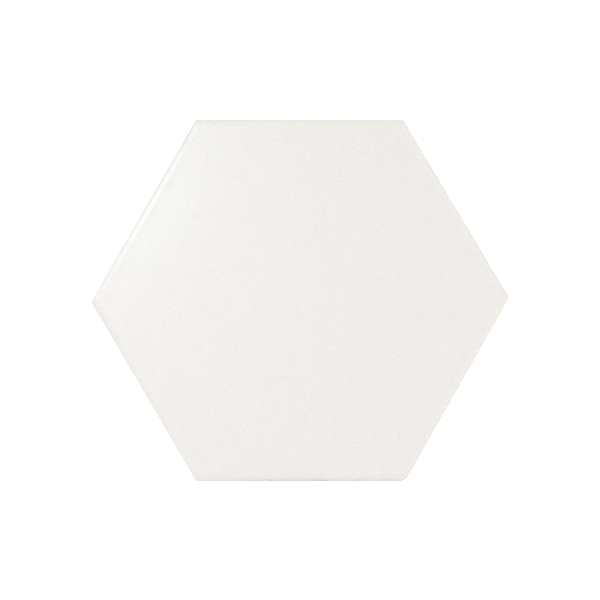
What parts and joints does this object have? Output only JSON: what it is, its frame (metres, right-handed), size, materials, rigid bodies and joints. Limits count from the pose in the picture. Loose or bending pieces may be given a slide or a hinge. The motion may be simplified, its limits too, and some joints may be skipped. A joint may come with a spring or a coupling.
{
  "type": "hexagon floor tile",
  "caption": "Flat hexagonal ceramic tile with a satin off-white glazed face, a soft rounded rim and a honeycomb-keyed back, laid edge to edge to cover a floor.",
  "frame": {"origin": "centre of the back, on the plane that it beds on", "axes": "+Z out of the glazed face, +X towards a corner, +Y square to two of the six flats"},
  "size_m": [0.123, 0.107, 0.0085],
  "materials": {
    "glaze": "satin"
  },
  "bodies": {
    "root": {"tile": "glaze"}
  },
  "joints": []
}
